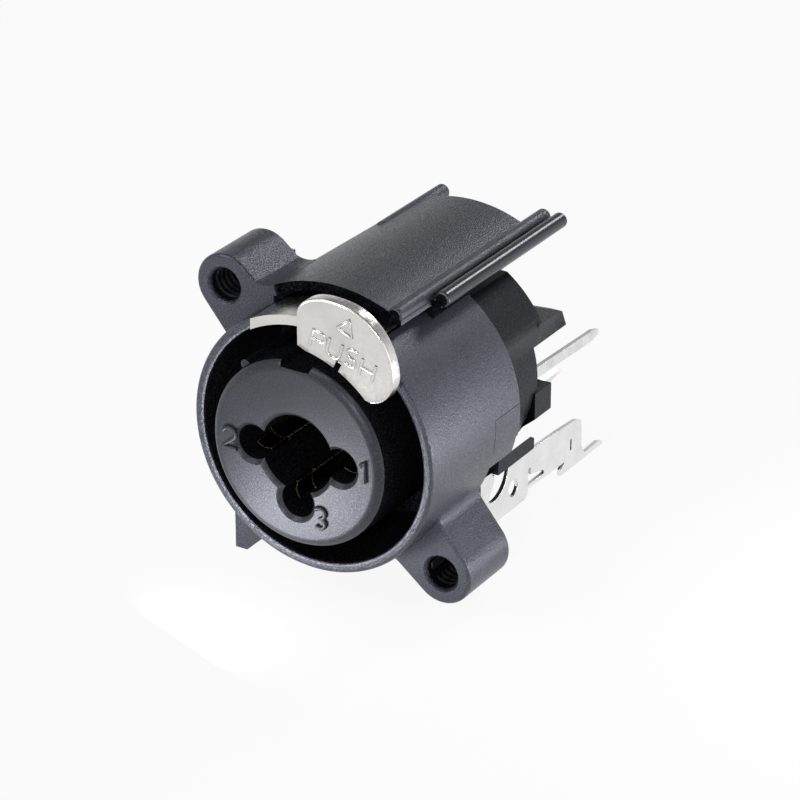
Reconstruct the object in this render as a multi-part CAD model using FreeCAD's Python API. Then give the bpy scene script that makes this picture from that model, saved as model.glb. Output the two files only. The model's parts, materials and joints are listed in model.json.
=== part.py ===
import FreeCAD, Part
import math
import os

# Combined panel socket: a three pole round socket and a 6.35 mm jack hole in one round face.
# Millimetres. The origin is on the socket's axis, in the plane of the ears' front faces.
# +X is to the right seen from the front, +Y runs to the rear, +Z is up.

# Round body
collar_bore_r = 10.0       # inside of the barrel, where the plug's shell goes in
barrel_wall = 0.9
collar_proud = 3.0         # collar in front of the mounting plane
barrel_rear_y = 10.25      # rear rim of the barrel
lip_fillet = 0.32          # rounding of the collar's front rim

# Ears and their screw holes
screw_pitch = 19.8         # hole to hole, along X and along Z
ear_r = 2.6                # boss round each hole
ear_depth = 6.0
hole_r = 1.35              # cut thread, as a plain bore
hole_mouth_r = 1.6
hole_mouth_depth = 0.35
ear_fillet = 1.3           # hollow where a web meets the barrel
ear_lean_deg = 6.0         # each side of a web spreads this much towards the barrel
ear_edge_fillet = 0.3
roof_hollow_r = 2.1        # hollow between the upper ear and the roof

# Roof over the latch
roof_rise = 1.3            # roof's front edge above the barrel
roof_fall = 0.2            # its rear edge is this much lower
roof_wall = 0.8
roof_front_y = 0.3
roof_rear_y = 20.75
skirt_depth = 1.2          # cheeks' height behind the barrel
roof_left_x = -5.5         # left side of the roof where it leaves the ear
roof_left_rear_x = -4.7
slot_half = 5.3            # half the width of the latch's slot in the collar
slot_step_y = 4.2          # behind this the slot is narrower on the left
channel_left_x = -3.8
cheek_wall = 0.8
cheek_front_y = 4.9        # in front of this the right cheek is open under its rail
rail_r = 0.65              # round rails on the cheeks
rail_sink = 0.05           # rail's middle below the roof's surface
rail_gap = 0.22            # slit between the two right hand rails
rail_rear_y = 23.3
outer_rail_front_y = 4.7
rail_web = 0.5             # web that carries the outer rail
left_rail_inset = 0.4      # left rail's middle from the roof's left side
left_rail_sink = 0.45
left_rail_front_y = 14.0
left_rail_rear_y = 23.7
rail_end_fillet = 0.26
stop_x = 3.1               # stops under the roof, for the latch's lugs
stop_width = 1.0
stop_front_y = 5.2
stop_length = 0.9
stop_drop = 0.35

# Locating foot at the lower left
foot_x = -9.15
foot_width = 1.1
foot_front_y = 0.5
foot_depth = 3.2
foot_bottom_z = -13.25
foot_top_z = -4.8

# Insert with the socket's face
shell_space = 2.18         # round the insert, for the plug's shell
insert_proud = 5.27        # face in front of the mounting plane
insert_edge_fillet = 0.88
jack_r = 3.25
pin_circle_r = 3.96
pin_hole_r = 1.45
pin_hole_chamfer = 0.35
key_depth = 0.62
key_floor_half = 1.25
key_mouth_half = 1.72
bead_angle = 128.6         # small rib beside the face, degrees from +X
bead_r = 0.42
bead_sink = 0.34           # how far the rib is sunk into the insert
bead_front_gap = 0.75      # rib's front end behind the face
flange_front_y = 7.0
flange_length = 2.6
flange_clearance = 0.05
pin_angles = (0, 180, 270)   # pins 1, 2 and 3, counter-clockwise from +X seen from the front

# Rear carrier
carrier_step = 1.9         # carrier's rim inside the barrel's outside
shoulder_step = 0.3        # the same at its two shoulders
shoulder_low_angle = 17.0  # each shoulder turns in between these angles above the horizontal
shoulder_turn_angle = 28.3
shoulder_fillet = 1.2
carrier_rear_y = 16.3
carrier_wall = 1.6
rear_wall = 1.0
rear_hole_r = 5.0
fit_gap = 0.05             # between parts that are pushed together
tongue_front_y = 6.5
tongue_top_z = 0.83
tongue_step_z = -2.0       # below this the tongue is recessed
tongue_recess = 0.12
tongue_bottom_z = -3.6
notch_bottom_z = -8.5      # window below the right tongue, for the ground plate's finger
wing_width = 1.1           # free bar beside each side of the carrier
wing_top_z = -4.75
wing_bottom_z = -6.05
wing_bevel_z = -5.85       # inner side of the bar slopes down to here
wing_rear_y = 15.95
wing_corner_y = 0.6        # cut upper corner at its rear end
wing_corner_z = 0.38
wing_root = 1.0            # length of the block that holds it
post_inset = 1.8           # inner side of the post from the carrier's rim
post_rear_y = 21.56
post_peak_angle = 36.0     # highest point of the post on the shoulder's rim
post_end_height = 1.08
post_end_lean = 0.39
block_inset = 2.0          # inner side of the block from the carrier's rim
block_proud = 0.1
block_top_z = -1.15
block_side_z = -3.42
block_foot_angle = -30.2   # its lower corner on the carrier's rim
block_rear_y = 18.4

# Contacts
sleeve_wall = 0.25
sleeve_front_y = -1.2
sleeve_bore_gap = 0.1      # between the sleeves and the jack hole
strip = 0.35               # thickness of the contact strips
strip_width = 0.95
strip_rear_y = 27.5
strip_bend_y = 12.0
strip_inset = 0.8          # solder tabs' middle from the carrier's rim
strip_tip_width = 0.45
strip_tip_length = 1.0
strip_drop = 0.38          # the tabs sag by this much at their tips
spring_strip = 0.3         # thickness of the jack's contact springs
spring_width = 1.6
spring_flare = 0.7         # free ends turn out by this much
spring_flare_length = 1.3
spring_rise = 1.1          # springs' feet outside the line where they touch
bend_y = 10.4              # hairpin bend of the jack's contact springs
plug_gap = 0.12            # contact springs outside a plug's surface
tip_touch_y = 21.4
tip_run = 4.4              # from the touching line forward to the end of the slope
ring_touch_y = 17.4
ring_run = 3.4
sleeve_touch_y = 12.6
sleeve_foot_rise = 0.3
tip_tab_gap = 0.98         # solder tabs outside the springs
tip_tab_rear_y = 22.5
side_tab_gap = 2.38
side_tab_angle = 32.0      # degrees below the horizontal
ring_tab_rear_y = 25.3
slot_gap = 0.08            # round the contacts in the carrier's slots

# Ground plate on the right and ground strip on the left
plate = 0.35
plate_low_z = -10.6        # lower edge, also of its finger in the lower ear
finger_high_z = -9.2
finger_front_y = 0.9
finger_window = 1.2        # height of the finger that shows in the screw hole
plate_front_y = 8.3        # front edge of the free end that fills the window
plate_tip_z = -5.8
plate_rim_y = 10.15        # behind this it is lower, clear of the bar above it
plate_rim_z = -6.2
plate_edge = [(10.45, -6.5), (17.0, -6.5), (20.3, -6.63), (23.7, -6.85), (24.65, -7.25), (24.8, -9.75),
              (25.3, -10.55), (27.65, -10.5), (28.35, -10.75), (28.3, -11.05), (21.3, -11.05),
              (21.3, -10.5), (21.9, -10.05), (15.9, -9.85), (15.9, -10.3), (15.4, -10.6)]   # (y, z)
crescent_y = 10.4          # centre of the curved slot that frees the front end
crescent_z = -6.3
crescent_r = 2.25
crescent_edge = [(10.45, -6.65), (9.47, -8.4)]   # its straight front side
plate_hole_y = 13.45
plate_hole_z = -8.7
plate_hole_r = 0.75
corner_slot = [(15.85, -9.5), (15.85, -8.05), (16.28, -8.05), (16.28, -8.7), (18.2, -9.1), (18.5, -9.35),
               (18.5, -9.55)]
fine_slot_y = 22.8
fine_slot_width = 0.3
fine_slot_top_z = -8.35
fine_slot_height = 1.0
strip_behind_ear = 1.5

# Spring contact for the plug's shell
shell_spring_gap = 0.12    # behind it, to the barrel's wall
shell_spring = 0.2
shell_spring_angle = 225.0
shell_spring_width = 3.0
shell_spring_front_y = 1.6
shell_spring_bump = 0.35

# Push latch
latch_gap = 0.25           # each side of the latch in its slot
latch_bore_gap = 0.1       # latch outside the collar's bore
latch_front_y = -3.6
latch_bridge_rear_y = 2.0
arm_x = 3.1                # middle of each arm
arm_width = 1.0
arm_rear_y = 12.3
slope_run = 0.5            # length of the steep face at the head of each arm's slope
latch_travel = 1.6
lug_length = 0.7
lug_drop = 0.23            # lug's top below the roof
tab_front_y = -6.2
tab_thickness = 1.0
tab_overhang = 0.2         # tab's lower edge inside the bore, clear of the plug's shell
tab_low_angles = (80.0, 44.5)
tab_left_x = 0.92
tab_crown = [(2.63, 85.8), (3.66, 84.5), (4.45, 80.5), (5.07, 73.0), (5.39, 65.3), (4.96, 55.8),
             (3.97, 47.8), (2.84, 42.3), (1.63, 40.0), (0.44, 41.2)]   # (rise, angle) along its rim
tab_corner = 0.35          # lower left corner
tab_notch_angle = 63.5
tab_notch_width = 0.5
tab_notch_depth = 0.75
neck_inset = 0.5           # neck's left side from the tab's

# Hook, its pin and its spring
hook_half = 1.9
hook_drop = 1.6            # hook's underside below the roof
hook_thickness = 0.5
hook_front_y = 4.0
hook_tooth_length = 1.2
hook_tooth = 0.7
hook_ear_half = 3.5
hook_ear_y = 11.5
hook_ear_length = 1.0
hook_lift_deg = 3.4
arm_below_hook = 0.5
cam_gap = 0.05             # between the arms' slopes and the hook's ears
pin_y = 15.0
pin_below_hook = 0.15      # pin's middle below the hook's underside
pin_r = 0.4
pin_proud = 0.5            # pin's left end outside the cheek
pin_running_gap = 0.04
pin_seat_gap = 0.02
hook_eye_wall = 0.35
coil_wire_r = 0.15
coil_gap = 0.15            # between the pin and the coil
coil_start_gap = 0.3       # from the hook's eye to the first turn's middle
coil_pitch = 0.42
coil_turns = 3
coil_front_y = 12.0        # ends of the spring's two legs
coil_front_rise = 0.45     # above the hook
coil_rear_y = 17.6
coil_rear_rise = 0.1
leg_root = 0.06            # how far a leg reaches into the coil's end
leg_ball_r = 0.156         # joint between a leg and the coil, a little fatter than the wire
flange_below_hook = 0.7    # flats under the latch and the hook
carrier_below_hook = 1.1

# Worked out from the values above
body_r = collar_bore_r + barrel_wall
collar_front_y = -collar_proud
face_y = -insert_proud
ear_centre = screw_pitch / 2
insert_r = collar_bore_r - shell_space
key_floor_z = insert_r - key_depth
flange_r = collar_bore_r - flange_clearance
insert_rear_y = flange_front_y + flange_length
carrier_r = body_r - carrier_step
carrier_top_r = body_r - shoulder_step
cavity_r = carrier_r - carrier_wall
strip_outer_x = carrier_r - strip_inset
plate_outer_x = ear_centre - hole_r
latch_half = slot_half - latch_gap
latch_inner_r = collar_bore_r + latch_bore_gap
roof_r = body_r + roof_rise
roof_rear_r = roof_r - roof_fall
roof_inner_r = roof_r - roof_wall
cheek_half = slot_half + cheek_wall
cheek_top_z = math.sqrt(roof_r ** 2 - cheek_half ** 2)
rail_x = cheek_half - rail_r
rail_z = math.sqrt(roof_r ** 2 - rail_x ** 2) - rail_sink
left_rail_x = roof_left_rear_x + left_rail_inset
left_rail_z = math.sqrt(roof_rear_r ** 2 - left_rail_x ** 2) - left_rail_sink
sleeve_r = pin_hole_r - fit_gap
hook_low_z = roof_inner_r - hook_drop
hook_top_z = hook_low_z + hook_thickness
hook_tooth_z = hook_low_z - hook_tooth
arm_low_z = hook_low_z - arm_below_hook
flange_flat_z = hook_low_z - flange_below_hook
carrier_flat_z = hook_low_z - carrier_below_hook
pin_z = hook_low_z - pin_below_hook
jack_contact_angles = {"tip": 90, "ring": 180 + side_tab_angle, "sleeve": -side_tab_angle}
over = 0.5                 # how far a cutting tool runs past what it cuts
far = 40.0                 # larger than the whole part
slack = 0.02               # for finding an edge by its place
parallel = 0.999           # cosine at which an edge still counts as along an axis


def cyl(radius, y0, y1, x=0.0, z=0.0):
    """Cylinder along Y."""
    return Part.makeCylinder(radius, y1 - y0, FreeCAD.Vector(x, y0, z), FreeCAD.Vector(0, 1, 0))


def rod_x(radius, x0, x1, y, z):
    """Cylinder along X."""
    return Part.makeCylinder(radius, x1 - x0, FreeCAD.Vector(x0, y, z), FreeCAD.Vector(1, 0, 0))


def box(x0, x1, y0, y1, z0, z1):
    return Part.makeBox(x1 - x0, y1 - y0, z1 - z0, FreeCAD.Vector(x0, y0, z0))


def tube(outer, inner, y0, y1):
    return cyl(outer, y0, y1).cut(cyl(inner, y0 - over, y1 + over))


def prism_y(points, y0, y1):
    """Outline given as (x, z) points, extruded along Y."""
    corners = [FreeCAD.Vector(x, y0, z) for x, z in points]
    return Part.Face(Part.makePolygon(corners + corners[:1])).extrude(FreeCAD.Vector(0, y1 - y0, 0))


def prism_x(points, x0, x1):
    """Outline given as (y, z) points, extruded along X."""
    corners = [FreeCAD.Vector(x0, y, z) for y, z in points]
    return Part.Face(Part.makePolygon(corners + corners[:1])).extrude(FreeCAD.Vector(x1 - x0, 0, 0))


def prism_z(points, z0, z1):
    """Outline given as (x, y) points, extruded along Z."""
    corners = [FreeCAD.Vector(x, y, z0) for x, y in points]
    return Part.Face(Part.makePolygon(corners + corners[:1])).extrude(FreeCAD.Vector(0, 0, z1 - z0))


def turned(shape, angle):
    """Copy turned about the socket's axis, counter-clockwise seen from the front."""
    copy = shape.copy()
    copy.rotate(FreeCAD.Vector(0, 0, 0), FreeCAD.Vector(0, -1, 0), angle)
    return copy


def mirrored(shape):
    """Left hand copy of a right hand shape."""
    return shape.mirror(FreeCAD.Vector(0, 0, 0), FreeCAD.Vector(1, 0, 0))


def polar(radius, angle):
    """The (x, z) point at this radius and angle, counter-clockwise from +X seen from the front."""
    return (radius * math.cos(math.radians(angle)), radius * math.sin(math.radians(angle)))


def joined(*shapes):
    result = shapes[0].fuse(list(shapes[1:]))
    return result.removeSplitter()


def rounded(shape, radius, wanted):
    """Fillets the edges that the test picks out."""
    edges = [edge for edge in shape.Edges if wanted(edge)]
    return shape.makeFillet(radius, edges) if edges else shape


def edge_middle(edge):
    return edge.valueAt((edge.FirstParameter + edge.LastParameter) / 2)


def is_circle(edge, radius, y):
    """True for an arc about the socket's axis with this radius, in this plane."""
    curve = edge.Curve
    if not isinstance(curve, Part.Circle):
        return False
    off_axis = math.hypot(curve.Center.x, curve.Center.z)
    return abs(curve.Radius - radius) < slack and abs(curve.Center.y - y) < slack and off_axis < slack


def runs_along_y(edge, x, z):
    """True for a straight edge along Y that passes this point."""
    middle = edge_middle(edge)
    if not isinstance(edge.Curve, Part.Line) or abs(edge.Curve.Direction.y) < parallel:
        return False
    return math.hypot(middle.x - x, middle.z - z) < slack


def strip_path(points, thickness, half_width):
    """Flat strip bent along (x, y) points; its width runs along Z."""
    left, right = [], []
    for i, (x, y) in enumerate(points):
        ahead = points[min(i + 1, len(points) - 1)]
        behind = points[max(i - 1, 0)]
        directions = []
        for start, end in ((behind, (x, y)), ((x, y), ahead)):
            length = math.hypot(end[0] - start[0], end[1] - start[1])
            if length > 0:
                directions.append(((end[0] - start[0]) / length, (end[1] - start[1]) / length))
        along = [sum(d[k] for d in directions) for k in (0, 1)]
        size = math.hypot(*along)
        normal = (-along[1] / size, along[0] / size)
        reach = thickness / 2 / abs(normal[0] * -directions[0][1] + normal[1] * directions[0][0])
        left.append((x + normal[0] * reach, y + normal[1] * reach))
        right.append((x - normal[0] * reach, y - normal[1] * reach))
    return prism_z(left + right[::-1], -half_width, half_width)


# Front housing

def ear(sign):
    """One ear with its web to the barrel: +1 is the lower right ear, -1 the upper left one."""
    cx, cz = sign * ear_centre, -sign * ear_centre
    whole = cyl(ear_r, 0, ear_depth, cx, cz)
    out = math.atan2(cz, cx)
    reach = body_r + ear_fillet
    sides = []
    for side in (1, -1):
        tangent = out + side * (math.pi / 2 - math.radians(ear_lean_deg))
        nx, nz = math.cos(tangent), math.sin(tangent)
        hx, hz = -side * nz, side * nx
        # The hollow's centre is as far from the side's line as from the barrel.
        px, pz = cx + (ear_r + ear_fillet) * nx, cz + (ear_r + ear_fillet) * nz
        along = px * hx + pz * hz
        run = -along - math.sqrt(along ** 2 - px ** 2 - pz ** 2 + reach ** 2)
        hollow = (px + run * hx, pz + run * hz)
        touch = (cx + ear_r * nx, cz + ear_r * nz)
        on_side = (hollow[0] - ear_fillet * nx, hollow[1] - ear_fillet * nz)
        on_barrel = (hollow[0] * body_r / reach, hollow[1] * body_r / reach)
        foot = (on_side[0] + ear_fillet * hx, on_side[1] + ear_fillet * hz)
        corner = prism_y([on_side, hollow, on_barrel, foot], 0, ear_depth)
        sides.append((touch, foot))
        whole = joined(whole, corner.cut(cyl(ear_fillet, -over, ear_depth + over, *hollow)))
    (a_touch, a_foot), (b_touch, b_foot) = sides
    whole = joined(whole, prism_y([a_touch, a_foot, b_foot, b_touch], 0, ear_depth))
    rim = cyl(body_r, -over, ear_depth + over)
    return rounded(whole, ear_edge_fillet, lambda edge: abs(edge_middle(edge).y) < slack
                   and not rim.isInside(edge_middle(edge), slack, True))


def ear_holes():
    """Screw holes, and the slots beside them for the ground finger and the ground strip."""
    tools = []
    for sign in (1, -1):
        x, z = sign * ear_centre, -sign * ear_centre
        tools.append(cyl(hole_r, -over, ear_depth + over, x, z))
        tools.append(Part.makeCone(hole_mouth_r, hole_r, hole_mouth_depth,
                                   FreeCAD.Vector(x, 0, z), FreeCAD.Vector(0, 1, 0)))
        slot_x = sorted((sign * (plate_outer_x + fit_gap), sign * (plate_outer_x - plate - fit_gap)))
        slot_z = sorted((sign * (plate_low_z - fit_gap), sign * (finger_high_z + fit_gap)))
        tools.append(box(*slot_x, finger_front_y - fit_gap, barrel_rear_y + over, *slot_z))
        middle_z = sign * (plate_low_z + finger_high_z) / 2
        window_x = sorted((sign * (plate_outer_x - plate), sign * ear_centre))
        tools.append(box(*window_x, finger_front_y - fit_gap, ear_depth + over,
                         middle_z - finger_window / 2, middle_z + finger_window / 2))
    return tools


def roof():
    """Arched roof with two cheeks, over the latch."""
    shell = Part.makeCone(roof_r, roof_rear_r, roof_rear_y - roof_front_y,
                          FreeCAD.Vector(0, roof_front_y, 0), FreeCAD.Vector(0, 1, 0))
    plan = [(cheek_half, roof_front_y), (cheek_half, roof_rear_y), (roof_left_rear_x, roof_rear_y),
            (roof_left_x, ear_depth), (-cheek_half, ear_depth), (-cheek_half, roof_front_y)]
    shell = shell.common(prism_z(plan, collar_bore_r / 2, far))
    return shell.cut(box(-far, far, barrel_rear_y, far, -far, cheek_top_z - skirt_depth))


def roof_hollow():
    """Hollow corner that leads from the upper ear into the roof."""
    ear_x, ear_z = -ear_centre, ear_centre
    apart = math.hypot(ear_x, ear_z)
    from_ear = ear_r + roof_hollow_r
    from_axis = roof_r + roof_hollow_r
    along = (from_axis ** 2 - from_ear ** 2 + apart ** 2) / (2 * apart)
    aside = math.sqrt(from_axis ** 2 - along ** 2)
    middle = ((along * ear_x + aside * ear_z) / apart, (along * ear_z - aside * ear_x) / apart)
    corner = prism_y([(ear_x, ear_z), middle, (0, 0)], 0, ear_depth)
    return corner.cut(cyl(roof_hollow_r, -over, ear_depth + over, *middle))


def rail(x, z, y0, y1):
    bar = cyl(rail_r, y0, y1, x, z)
    return rounded(bar, rail_end_fillet, lambda edge: isinstance(edge.Curve, Part.Circle))


def latch_slot():
    """Space for the latch through the collar and under the roof, open at the front on the right."""
    front = box(-slot_half, slot_half, collar_front_y - over, slot_step_y, collar_bore_r / 2, far)
    rear = box(channel_left_x, slot_half, slot_step_y - over, far, collar_bore_r / 2, far)
    inside = joined(front, rear).common(cyl(roof_inner_r, collar_front_y - over, far))
    side = box(slot_half - over, far, collar_front_y, cheek_front_y, collar_bore_r / 2, rail_z - rail_r)
    return [inside, side.cut(cyl(body_r, -far, far))]


def latch_stop(side):
    """Stop under the roof that a lug of the latch rests against."""
    left = side * stop_x - stop_width / 2
    stop = box(left, left + stop_width, stop_front_y, stop_front_y + stop_length, collar_bore_r / 2, far)
    return stop.common(tube(roof_inner_r + roof_wall / 2, roof_inner_r - stop_drop, -far, far))


def front_housing():
    barrel = cyl(body_r, collar_front_y, barrel_rear_y)
    foot = box(foot_x - foot_width / 2, foot_x + foot_width / 2, foot_front_y,
               foot_front_y + foot_depth, foot_bottom_z, foot_top_z)
    outer_rail_x = rail_x + 2 * rail_r + rail_gap
    web = box(rail_x, outer_rail_x, outer_rail_front_y, roof_rear_y,
              rail_z - rail_r, rail_z - rail_r + rail_web)
    rails = [rail(rail_x, rail_z, roof_front_y, rail_rear_y),
             rail(outer_rail_x, rail_z, outer_rail_front_y, rail_rear_y),
             rail(left_rail_x, left_rail_z, left_rail_front_y, left_rail_rear_y)]
    solid = joined(barrel, roof(), ear(1), ear(-1), roof_hollow()).cut(latch_slot())
    solid = joined(solid, foot, web, *rails)
    window = box(0, far, tongue_front_y - fit_gap, far, notch_bottom_z, tongue_bottom_z)
    solid = solid.cut([cyl(collar_bore_r, collar_front_y - over, far), window, hook_pin(pin_seat_gap)])
    solid = solid.cut(ear_holes() + [tongue(side, fit_gap) for side in (1, -1)])
    solid = joined(solid, latch_stop(1), latch_stop(-1))
    return rounded(solid, lip_fillet, lambda edge: is_circle(edge, body_r, collar_front_y)
                   or is_circle(edge, collar_bore_r, collar_front_y))


# Insert

def contact_insert():
    body = cyl(insert_r, face_y, insert_rear_y)
    body = rounded(body, insert_edge_fillet, lambda edge: is_circle(edge, insert_r, face_y))
    flange = cyl(flange_r, flange_front_y, insert_rear_y).cut(box(-far, far, -far, far, flange_flat_z, far))
    bead_centre = polar(insert_r + bead_r - bead_sink, bead_angle)
    bead = cyl(bead_r, face_y + bead_front_gap, flange_front_y, *bead_centre)
    solid = joined(body, flange, bead)
    tools = [cyl(jack_r, face_y - over, insert_rear_y + over), mouth_cone(jack_r, 0, 0)]
    for angle in pin_angles:
        x, z = polar(pin_circle_r, angle)
        tools.append(cyl(pin_hole_r, face_y - over, insert_rear_y + over, x, z))
        tools.append(mouth_cone(pin_hole_r, x, z))
    key = [(-key_floor_half, key_floor_z), (key_floor_half, key_floor_z),
           (key_mouth_half, insert_r + over), (-key_mouth_half, insert_r + over)]
    tools.append(prism_y(key, face_y - over, flange_front_y))
    return solid.cut(tools)


def mouth_cone(radius, x, z):
    """Small chamfer round a hole in the face."""
    return Part.makeCone(radius + pin_hole_chamfer, radius, pin_hole_chamfer,
                         FreeCAD.Vector(x, face_y, z), FreeCAD.Vector(0, 1, 0))


# Rear carrier

def tongue(side, gap):
    """Tongue of the carrier that fills a window in the barrel's rear rim, in two levels."""
    root_y = insert_rear_y + fit_gap
    plate_part = tube(body_r + gap, collar_bore_r, tongue_front_y - gap, root_y)
    root = tube(body_r + gap, collar_bore_r - over, root_y, barrel_rear_y + gap)
    block = joined(plate_part, root)
    block = block.common(box(0, far, -far, far, tongue_bottom_z - gap, tongue_top_z + gap))
    if not gap:
        below = box(0, far, -far, far, tongue_bottom_z - over, tongue_step_z)
        block = block.cut(below.cut(cyl(body_r - tongue_recess, -far, far)))
    return block if side > 0 else mirrored(block)


def post():
    """Tapered post behind the carrier's right shoulder."""
    foot_x, foot_z = polar(carrier_r, shoulder_low_angle)
    side_x, side_z = polar(carrier_top_r, shoulder_turn_angle)
    peak_x, peak_z = polar(carrier_top_r, post_peak_angle)
    inner_x = carrier_r - post_inset
    end_x = foot_x - post_end_lean
    end_z = foot_z + post_end_height
    front = [(inner_x, foot_z), (foot_x, foot_z), (side_x, side_z), (peak_x, peak_z), (inner_x, peak_z)]
    rear = [(inner_x, foot_z), (foot_x, foot_z), (end_x, end_z), (end_x - slack, end_z + slack),
            (inner_x, end_z + slack)]
    wires = []
    for corners, y in ((front, carrier_rear_y), (rear, post_rear_y)):
        points = [FreeCAD.Vector(x, y, z) for x, z in corners]
        wires.append(Part.makePolygon(points + points[:1]))
    return joined(Part.makeLoft(wires, True, True), prism_y(front, carrier_rear_y - over, carrier_rear_y))


def wing():
    """Free bar beside the carrier's right side, held at its front by a block."""
    inner_x = carrier_r - wing_width
    section = [(inner_x, wing_bottom_z), (carrier_r, wing_bottom_z), (carrier_r, wing_top_z),
               (inner_x, wing_bevel_z)]
    bar = prism_y(section, barrel_rear_y, wing_rear_y)
    corner = prism_x([(wing_rear_y - wing_corner_y, wing_top_z), (wing_rear_y, wing_top_z - wing_corner_z),
                      (wing_rear_y + over, wing_top_z - wing_corner_z),
                      (wing_rear_y + over, wing_top_z + over),
                      (wing_rear_y - wing_corner_y, wing_top_z + over)], 0, far)
    root = box(carrier_r / 2, carrier_r, barrel_rear_y, barrel_rear_y + wing_root,
               wing_bottom_z, wing_top_z)
    return joined(bar.cut(corner), root)


def carrier_side():
    """Shoulder, post, wing, block and tongue of the carrier's right side."""
    low = polar(carrier_r, shoulder_low_angle)
    turn = polar(carrier_top_r, shoulder_turn_angle)
    lean = (turn[0] - low[0]) / (turn[1] - low[1])
    section = [(carrier_r / 2, low[1]), low, (low[0] + lean * (far - low[1]), far), (carrier_r / 2, far)]
    shoulder = cyl(carrier_top_r, barrel_rear_y, carrier_rear_y).common(prism_y(section, 0, far))
    shoulder = rounded(shoulder, shoulder_fillet, lambda edge: runs_along_y(edge, *turn))
    inner_x = carrier_r - block_inset
    outer_x = carrier_r + block_proud
    foot = polar(carrier_r, block_foot_angle)
    block = prism_y([(inner_x, block_top_z), (outer_x, block_top_z), (outer_x, block_side_z), foot,
                     (inner_x, foot[1])], carrier_rear_y - over, block_rear_y)
    return [shoulder, post(), wing(), block, tongue(1, 0)]


def contact_paths():
    """Centre lines of the contact strips, as (r, y) points in the plane of each contact."""
    inner_r = pin_circle_r + sleeve_r - strip / 2 - fit_gap
    touch = jack_r + plug_gap + spring_strip / 2
    flare = touch + spring_flare
    foot = touch + spring_rise
    tip_tab = foot + tip_tab_gap
    side_tab = foot + side_tab_gap
    pin = [(inner_r, flange_front_y), (inner_r, insert_rear_y + strip / 2), (strip_outer_x, strip_bend_y),
           (strip_outer_x, strip_rear_y)]
    tip = [(flare, tip_touch_y + spring_flare_length), (touch, tip_touch_y), (foot, tip_touch_y - tip_run),
           (foot, bend_y), (tip_tab, bend_y), (tip_tab, tip_tab_rear_y)]
    ring = [(flare, ring_touch_y + spring_flare_length), (touch, ring_touch_y),
            (foot, ring_touch_y - ring_run), (foot, bend_y), (side_tab, bend_y),
            (side_tab, ring_tab_rear_y)]
    sleeve = [(flare, sleeve_touch_y + spring_flare_length), (touch, sleeve_touch_y),
              (foot + sleeve_foot_rise, bend_y), (side_tab, bend_y), (side_tab, ring_tab_rear_y)]
    return {"pin": pin, "tip": tip, "ring": ring, "sleeve": sleeve}


def rear_carrier():
    main = cyl(carrier_r, barrel_rear_y, carrier_rear_y)
    spigot = cyl(flange_r, insert_rear_y, barrel_rear_y)
    sides = carrier_side()
    solid = joined(main, spigot, *sides, *[mirrored(shape) for shape in sides])
    above = box(-far, far, -far, far, carrier_flat_z, far)
    cavity = cyl(cavity_r, insert_rear_y - over, carrier_rear_y - rear_wall)
    opening = cyl(rear_hole_r, insert_rear_y, carrier_rear_y + over)
    solid = solid.cut([above, cavity, opening])
    paths = contact_paths()
    tools = []
    for angle in pin_angles:
        tool = strip_path(paths["pin"], strip + 2 * slot_gap, strip_width / 2 + slot_gap)
        tools.append(turned(tool, angle))
    for name, angle in jack_contact_angles.items():
        crossing_and_tab = paths[name][-3:]
        tool = strip_path(crossing_and_tab, spring_strip + 2 * slot_gap, spring_width / 2 + slot_gap)
        tools.append(turned(tool, angle))
    return solid.cut(tools)


# Contacts

def pointed(tab_x, rear_y, width, thickness):
    """Wedges that narrow a tab's end."""
    wedges = []
    for side in (1, -1):
        corners = [(rear_y - strip_tip_length, side * width / 2), (rear_y, side * strip_tip_width / 2),
                   (rear_y + over, side * strip_tip_width / 2), (rear_y + over, side * width),
                   (rear_y - strip_tip_length, side * width)]
        wedges.append(prism_x(corners, tab_x - thickness, tab_x + thickness))
    return wedges


def pin_contact(angle):
    """Split sleeve for a plug's pin, with its strip to a solder tab that sags a little."""
    front, rear = sleeve_front_y, insert_rear_y
    sleeve = cyl(sleeve_r, front, rear, pin_circle_r, 0)
    sleeve = sleeve.cut([cyl(sleeve_r - sleeve_wall, front - over, rear + over, pin_circle_r, 0),
                         cyl(jack_r + sleeve_bore_gap, front - over, rear + over)])
    path = contact_paths()["pin"]
    inside = strip_path(path[:-1] + [(strip_outer_x, carrier_rear_y)], strip, strip_width / 2)
    half, tip = strip_width / 2, strip_tip_width / 2
    shoulder_y = strip_rear_y - strip_tip_length
    outline = [(carrier_rear_y, -half), (shoulder_y, -half - strip_drop),
               (strip_rear_y, -tip - strip_drop), (strip_rear_y, tip - strip_drop),
               (shoulder_y, half - strip_drop), (carrier_rear_y, half)]
    tab = prism_x(outline, strip_outer_x - strip / 2, strip_outer_x + strip / 2)
    return turned(joined(sleeve, inside, tab), angle)


def jack_contact(name, angle):
    """Hairpin spring for a plug's tip, ring or sleeve, with its solder tab."""
    path = contact_paths()[name]
    tab_r, rear_y = path[-1]
    solid = strip_path(path, spring_strip, spring_width / 2)
    return turned(solid.cut(pointed(tab_r, rear_y, spring_width, spring_strip)), angle)


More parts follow.
